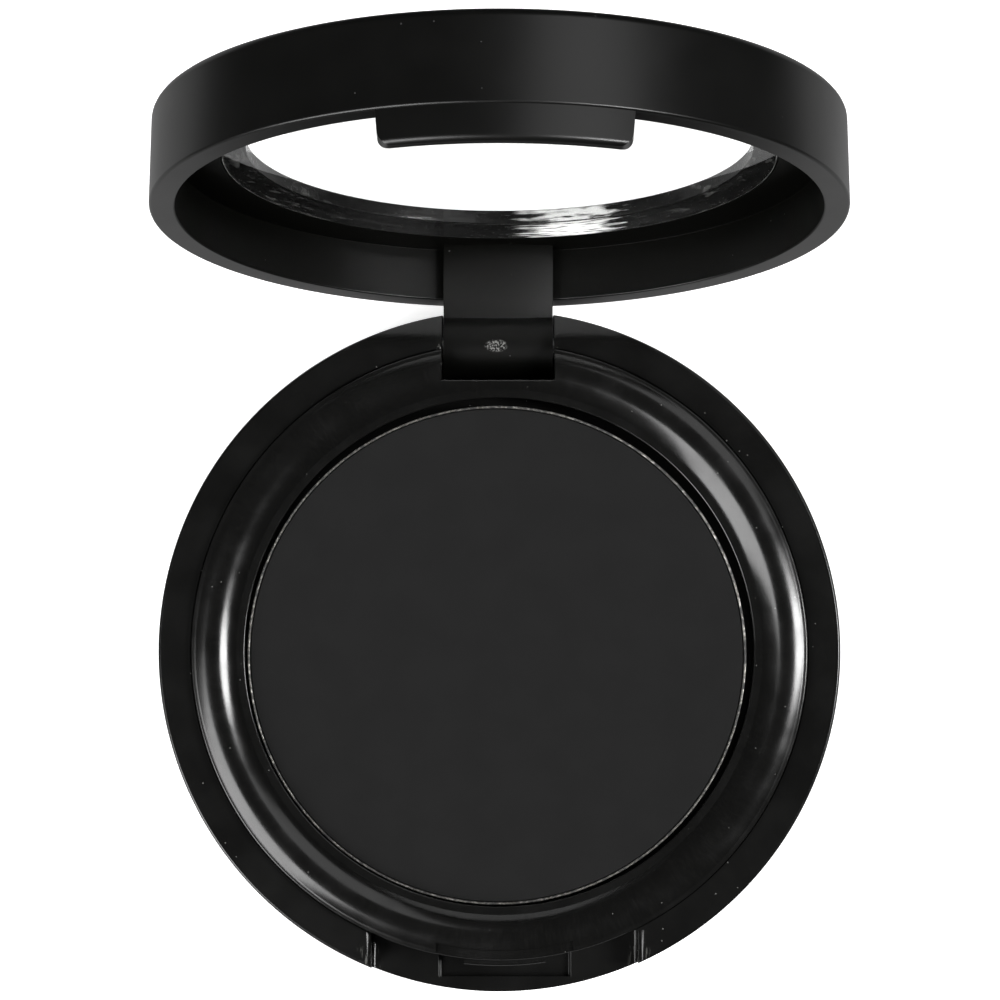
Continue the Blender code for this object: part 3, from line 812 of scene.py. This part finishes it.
def make_tray():
    skirt_inner = TRAY_RADIUS - TRAY_WALL
    well_outer = WELL_RADIUS + TRAY_WALL
    outline = [
        (0.0, WELL_FLOOR),
        (WELL_RADIUS, WELL_FLOOR),
        *bead_outline(),
        (TRAY_RADIUS, WELL_FLOOR),
        (skirt_inner, WELL_FLOOR),
        (skirt_inner, BEAD_UNDERSIDE - 0.7 * MM),
        (skirt_inner - 0.4 * MM, BEAD_UNDERSIDE),
        (well_outer + 0.3 * MM, BEAD_UNDERSIDE),
        (well_outer, BEAD_UNDERSIDE - 0.6 * MM),
        (well_outer, WELL_FLOOR - TRAY_WALL),
        (0.0, WELL_FLOOR - TRAY_WALL),
    ]
    tray = turned("bead_tray", outline, 2 * SEGMENTS)
    half = SLOT_WIDTH / 2 + GAP
    side = POCKET_HALF_WIDTH + 0.15 * MM
    ear = EAR_HALF_WIDTH + 0.2 * MM
    back = TRAY_RADIUS + MM
    cut(
        tray,
        prism("slot", tray_slot_outline(back), HINGE_X - half, HINGE_X + half),
        box(
            "pocket_room",
            (-side, WELL_RADIUS - 0.95 * MM, WELL_FLOOR + 0.1 * MM),
            (side, back, POCKET_TOP + 0.15 * MM),
        ),
        box("floor_room", (-side, POCKET_FRONT - 0.1 * MM, 0.0), (side, back, WELL_FLOOR + 0.3 * MM)),
        box("ear_room", (-ear, EAR_FRONT - 0.2 * MM, 0.0), (ear, back, EAR_TOP + 0.2 * MM)),
        catch_land(),
    )
    join(tray, catch_lug())
    smooth(tray)
    return dress(tray, tray_plastic(), "base", "gloss_black", "inner_tray")


def sector(name, outline, half_width):
    """The stretch of a turned ring that lies at the front, half_width to each side of the catch."""
    ring = turned(name, outline)
    span = box(
        "span",
        (CATCH_X - half_width, -RADIUS - MM, 0.0),
        (CATCH_X + half_width, -RADIUS / 2, FACE_Z),
    )
    combine(ring, span, "INTERSECT")
    return ring


def catch_land():
    outer = TRAY_RADIUS + MM
    high = BEAD_TOP + MM
    edge = 0.12 * MM
    outline = [
        (LAND_RADIUS, high),
        (outer, high),
        (outer, LAND_Z - edge),
        *arc(TRAY_RADIUS - edge, LAND_Z - edge, edge, 0, 90, 6),
        *arc(LAND_RADIUS + edge, LAND_Z + edge, edge, 270, 180, 6),
    ]
    return sector("catch_land", outline, LAND_HALF_WIDTH)


def catch_lug():
    inner = TRAY_RADIUS - 0.5 * MM
    low = LUG_TOP - LUG_HEIGHT
    corners = [
        (inner, LUG_TOP, 0),
        (LUG_RADIUS, LUG_TOP, 0.2 * MM),
        (LUG_RADIUS, low, 0.1 * MM),
        (inner, low, 0),
    ]
    return sector("catch_lug", rounded(corners), LUG_WIDTH / 2)


# Pan, powder, pin and underside


def centred_like(obj, node):
    """Moves a piece made about Z to the middle of its CAD node."""
    low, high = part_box(node)
    middle = (low + high) / 2
    obj.data.transform(Matrix.Translation((middle.x, middle.y, 0.0)))


def make_pan():
    foot = WELL_FLOOR + GLUE_THICKNESS + 2 * GAP
    inner = PAN_RADIUS - PAN_SHEET
    corners = [
        (0.0, foot + PAN_SHEET, 0),
        (inner, foot + PAN_SHEET, PAN_INNER_FILLET),
        (inner, PAN_RIM, PAN_LIP),
        (PAN_RADIUS, PAN_RIM, PAN_LIP),
        (PAN_RADIUS, foot, PAN_FOOT_FILLET),
        (0.0, foot, 0),
    ]
    pan = turned("tin_pan", rounded(corners))
    centred_like(pan, "powder_pan")
    smooth(pan)
    return dress(pan, tinplate(), "base", "tinplate", "powder_pan")


def make_cake():
    radius = PAN_RADIUS - PAN_SHEET - GAP
    foot = WELL_FLOOR + GLUE_THICKNESS + 3 * GAP + PAN_SHEET
    corners = [
        (0.0, CAKE_TOP, 0),
        (radius, CAKE_TOP, 0.1 * MM),
        (radius, foot, PAN_FOOT_FILLET),
        (0.0, foot, 0),
    ]
    cake = turned("powder_cake", rounded(corners))
    centred_like(cake, "eyeshadow_cake")
    smooth(cake)
    return dress(cake, powder(), "base", "powder", "eyeshadow_cake")


def make_pan_glue():
    low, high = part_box("pan_adhesive")
    radius = (high.x - low.x) / 2
    edge = 0.08 * MM
    corners = [
        (0.0, low.z, 0),
        (radius, low.z, edge),
        (radius, high.z, edge),
        (0.0, high.z, 0),
    ]
    spot = turned("pan_glue_spot", rounded(corners))
    centred_like(spot, "pan_adhesive")
    smooth(spot)
    return dress(spot, hot_glue(), "base", "adhesive", "pan_adhesive")


def make_pin():
    low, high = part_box("hinge_pin")
    pin = rod("steel_pin", PIN_RADIUS, low.x, high.x, PIN.y, PIN.z, fillet=0.15 * MM)
    smooth(pin)
    return dress(pin, pin_steel(), "base", "pin_steel", "hinge_pin")


def make_label():
    low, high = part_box("underside_label")
    edge = 0.03 * MM
    corners = [
        (0.0, low.z, 0),
        (high.x, low.z, edge),
        (high.x, high.z, edge),
        (0.0, high.z, 0),
    ]
    label = turned("blank_label", rounded(corners, 2))
    smooth(label)
    return dress(label, paper(), "base", "label", "underside_label")


# Lid


def lid_outline():
    recess = FACE_Z - SKIN
    hole = WINDOW_RADIUS + 0.06 * MM
    return rounded(
        [
            (SIGHT_RADIUS, FACE_Z, INNER_EDGE),
            (RADIUS - DRAFT, FACE_Z, FACE_FILLET),
            (RADIUS, RIM_Z, RIM_FILLET),
            (LID_INNER, RIM_Z, INNER_EDGE),
            (LID_INNER, LEDGE_Z, LEDGE_FILLET),
            (hole, LEDGE_Z, 0.08 * MM),
            (hole, recess, 0.05 * MM),
            (SIGHT_RADIUS, recess, 0.05 * MM),
        ],
        6,
    )


def make_tab():
    """The thumb tab: a stretch of a ring, with a rounded foot and tapered sides."""
    over = RIM_Z + MM
    foot = RIM_Z - TAB_DROP
    corners = [
        (LID_INNER + 0.05 * MM, over, 0),
        (RADIUS - TAB_STEP, over, 0),
        (RADIUS - TAB_STEP, foot, TAB_OUTER_EDGE),
        (TAB_INNER, foot, TAB_EDGE),
        (TAB_INNER, RIM_Z - 0.1 * MM, 0),
    ]
    ring = turned("tab", rounded(corners))
    half = TAB_WIDTH / 2
    outline = rounded(
        [
            (CATCH_X - half, over + MM, 0),
            (CATCH_X - half + TAB_TAPER, foot, TAB_CORNER),
            (CATCH_X + half - TAB_TAPER, foot, TAB_CORNER),
            (CATCH_X + half, over + MM, 0),
        ],
        10,
    )
    span = prism("tab_span", outline, -RADIUS - MM, -RADIUS / 2, "Y")
    combine(ring, span, "INTERSECT")
    return ring


def make_arm():
    """The knuckle round the pin, with a straight heel behind it and the bowed arm above it."""
    heel = (ARM_OUTER, PIN.z + HEEL_RISE)
    reach = math.hypot(ARM_OUTER - PIN.y, HEEL_RISE)
    lean = math.degrees(math.atan2(HEEL_RISE, ARM_OUTER - PIN.y))
    tangent = lean - math.degrees(math.acos(KNUCKLE_RADIUS / reach))
    top = LEDGE_Z + 0.5 * MM
    round_foot = arc(PIN.y, PIN.z, KNUCKLE_RADIUS, tangent, -270, 56)
    outline = [(PIN.y, top), (ARM_OUTER, top), heel, *round_foot]
    half = KNUCKLE_WIDTH / 2
    knuckle = prism("knuckle", outline, HINGE_X - half, HINGE_X + half)
    bow = half**2 / (2 * ARM_BOW) + ARM_BOW / 2
    spread = math.degrees(math.asin(half / bow))
    face = arc(HINGE_X, ARM_INNER + bow, bow, -90 - spread, -90 + spread, 24)
    back = ARM_OUTER - 0.3 * MM
    outline = [*face, (HINGE_X + half, back), (HINGE_X - half, back)]
    arm = prism("arm", outline, PIN.z + 1.5 * MM, top, "Z")
    join(knuckle, arm)
    return knuckle


def make_lid(adhesive):
    """Lid and hinge arm in one: satin inside and on the knuckle, glue on the sight hole's wall."""
    lid = turned("lid_body", lid_outline())
    join(lid, make_tab(), make_arm())
    half = KNUCKLE_WIDTH / 2 + MM
    cut(lid, rod("bore", PIN_RADIUS + PIN_RUNNING_GAP, -half, half, PIN.y, PIN.z))
    smooth(lid, level_flat=True)
    lid.data.transform(lid_turn())
    dress(lid, lid_plastic(), "lid", "matte_black", "lid_shell")
    lid.data.materials.append(lid_inside_plastic())
    lid.data.materials.append(adhesive)
    inside_slot, adhesive_slot = 1, 2
    back = lid_turn().inverted()
    for face in lid.data.polygons:
        centre = back @ face.center
        normal = back.to_3x3() @ face.normal
        radius = math.hypot(centre.x, centre.y)
        above_rim = centre.z > RIM_Z + 0.1 * MM
        outward = (normal.x * centre.x + normal.y * centre.y) / radius
        faces_in = outward < -0.1 or normal.z < -0.5
        on_knuckle = abs(centre.x - HINGE_X) < KNUCKLE_WIDTH / 2 and centre.y > 0
        if radius < SIGHT_RADIUS + 0.01 * MM and centre.z > LEDGE_Z:
            face.material_index = adhesive_slot
        elif radius < LID_INNER + 0.01 * MM and above_rim and faces_in:
            face.material_index = inside_slot
        elif on_knuckle and centre.z < PIN.z + KNUCKLE_RADIUS:
            face.material_index = inside_slot
    return lid


def make_window(adhesive):
    """A clear disc, with glue over its side and border and a frosted front edge."""
    top = LEDGE_Z + WINDOW_THICKNESS
    edge = 0.09 * MM
    rows = 10
    clear_slot, adhesive_slot, frosted_slot = 0, 1, 2
    side = [
        (WINDOW_RADIUS, LEDGE_Z + edge + (WINDOW_THICKNESS - 2 * edge) * k / rows)
        for k in range(1, rows)
    ]
    outline = [
        (0.0, LEDGE_Z),
        *arc(WINDOW_RADIUS - edge, LEDGE_Z + edge, edge, -90, 0, 5),
        *side,
        *arc(WINDOW_RADIUS - edge, top - edge, edge, 0, 90, 5),
        *[(SIGHT_RADIUS + BORDER * k / 6, top) for k in range(6, -1, -1)],
        (0.0, top),
    ]
    window = turned("window_disc", outline)
    slots = []
    for face in window.data.polygons:
        radius = math.hypot(face.center.x, face.center.y)
        border = face.center.z > top - edge and radius > SIGHT_RADIUS
        rim = radius > WINDOW_RADIUS - edge and face.center.z > LEDGE_Z + 0.8 * edge
        if border or rim:
            slots.append(adhesive_slot)
        else:
            slots.append(frosted_slot if radius > WINDOW_RADIUS - edge else clear_slot)
    window.data.transform(lid_turn())
    smooth(window)
    dress(window, window_clear(), "lid", "clear", "lid_window")
    window.data.materials.append(adhesive)
    window.data.materials.append(frosted_edge())
    for face, slot in zip(window.data.polygons, slots):
        face.material_index = slot
    return window


def make_window_glue(adhesive):
    """A smeared ring of glue between the window and the lid's skin."""
    low = LEDGE_Z + WINDOW_THICKNESS + GAP / 2
    high = FACE_Z - SKIN - GAP / 2
    corners = [
        (SIGHT_RADIUS + 0.1 * MM, high, 0),
        (WINDOW_RADIUS - 0.1 * MM, high, 0),
        (WINDOW_RADIUS - 0.1 * MM, low, 0),
        (SIGHT_RADIUS + 0.1 * MM, low, 0),
    ]
    ring = turned("glue_ring", rounded(corners))
    for vert in ring.data.vertices:
        radius = math.hypot(vert.co.x, vert.co.y)
        if radius < SIGHT_RADIUS + 0.2 * MM:
            wave = noise.noise(Vector((vert.co.x, vert.co.y, 0.0)) / (1.4 * MM))
            scale = 1 + (0.22 + 0.25 * wave) * MM / radius
            vert.co.x *= scale
            vert.co.y *= scale
    ring.data.transform(lid_turn())
    smooth(ring)
    return dress(ring, adhesive, "lid", "adhesive", "window_adhesive")


# Studio


def make_camera():
    data = bpy.data.cameras.new("camera")
    data.type = "PERSP"
    data.sensor_width = 36.0
    data.lens = CAMERA_LENS
    camera = bpy.data.objects.new("camera", data)
    bpy.context.scene.collection.objects.link(camera)
    camera.location = CAMERA_PLACE
    bpy.context.scene.camera = camera


def lamp(name, azimuth, tilt, distance, width, length, radiance, shape="RECTANGLE"):
    """A soft area lamp: azimuth from +X, tilt from straight up, aimed at the tray."""
    data = bpy.data.lights.new(name, "AREA")
    data.shape = shape
    data.size = width
    data.size_y = length
    data.energy = radiance * math.pi * width * length
    if shape == "ELLIPSE":
        data.energy *= math.pi / 4
    obj = bpy.data.objects.new(name, data)
    bpy.context.scene.collection.objects.link(obj)
    a, t = math.radians(azimuth), math.radians(tilt)
    way = Vector((math.sin(t) * math.cos(a), math.sin(t) * math.sin(a), math.cos(t)))
    obj.location = Vector((0.0, 0.0, FLANGE_Z)) + way * distance
    obj.rotation_mode = "QUATERNION"
    obj.rotation_quaternion = way.to_track_quat("Z", "Y")
    obj.visible_camera = False
    return obj


def surround(obj, material, **seen_by):
    """A stage piece, seen only by the kinds of ray that are named."""
    obj.data.materials.append(material)
    for kind in ("camera", "diffuse", "glossy", "transmission", "volume_scatter", "shadow"):
        setattr(obj, "visible_" + kind, seen_by.get(kind, False))


def glow(name, strength):
    """An even white glow that nothing else lights."""
    g = Graph(name)
    g.set(
        Base_Color=(0.0, 0.0, 0.0, 1.0),
        Specular_IOR_Level=0.0,
        Emission_Color=(1.0, 1.0, 1.0, 1.0),
        Emission_Strength=strength,
    )
    return g.material


def plate(name, half, z):
    """A level square about the origin."""
    corners = [(-half, -half, z), (half, -half, z), (half, half, z), (-half, half, z)]
    return made(name, corners, [[0, 1, 2, 3]])


def make_studio():
    scene = bpy.context.scene
    scene.view_settings.view_transform = "Standard"
    world = bpy.data.worlds.new("studio")
    world.use_nodes = True
    world.node_tree.nodes["Background"].inputs["Color"].default_value = (0.03, 0.03, 0.03, 1.0)
    scene.world = world
    pale = Graph("pale_floor")
    pale.set(
        Base_Color=pale.mix(pale.noise(0.3), (0.86, 0.86, 0.86), (0.88, 0.88, 0.88)),
        Roughness=0.9,
        Emission_Color=(1.0, 1.0, 1.0, 1.0),
        Emission_Strength=0.8,
    )
    floor = plate("floor", FLOOR_HALF, 0.0)
    surround(floor, pale.material, camera=True, diffuse=True, shadow=True)
    table = plate("light_table", FLOOR_HALF, -0.2 * MM)
    surround(table, glow("light_table_glow", 1.9), transmission=True)
    card = plate("floor_near", 0.09, -0.1 * MM)
    surround(card, glow("near_floor_glow", 0.45), glossy=True)
    foot = -0.01
    dome = arc(0.0, foot, BACKDROP_RADIUS, 5, 85, 16)
    outline = [(BACKDROP_RADIUS, foot), *dome, (0.0, foot + BACKDROP_RADIUS)]
    backdrop = turned("backdrop", outline, 64)
    surround(backdrop, glow("backdrop_glow", 0.85), camera=True, transmission=True)
    lamp("key_right", 0.5, 36, 0.7, 0.14, 0.30, 33, "ELLIPSE")
    lamp("fill_left", 213, 48, 0.6, 0.26, 0.62, 8.0)
    lamp("rear_right", 51, 41, 0.8, 0.40, 0.5, 1.25)


make_studio()
make_camera()
make_base()
make_tray()
make_pan()
make_cake()
make_pan_glue()
make_pin()
make_label()
glue_with_painted_reflection = glue()
make_lid(glue_with_painted_reflection)
make_window(glue_with_painted_reflection)
make_window_glue(glue_with_painted_reflection)
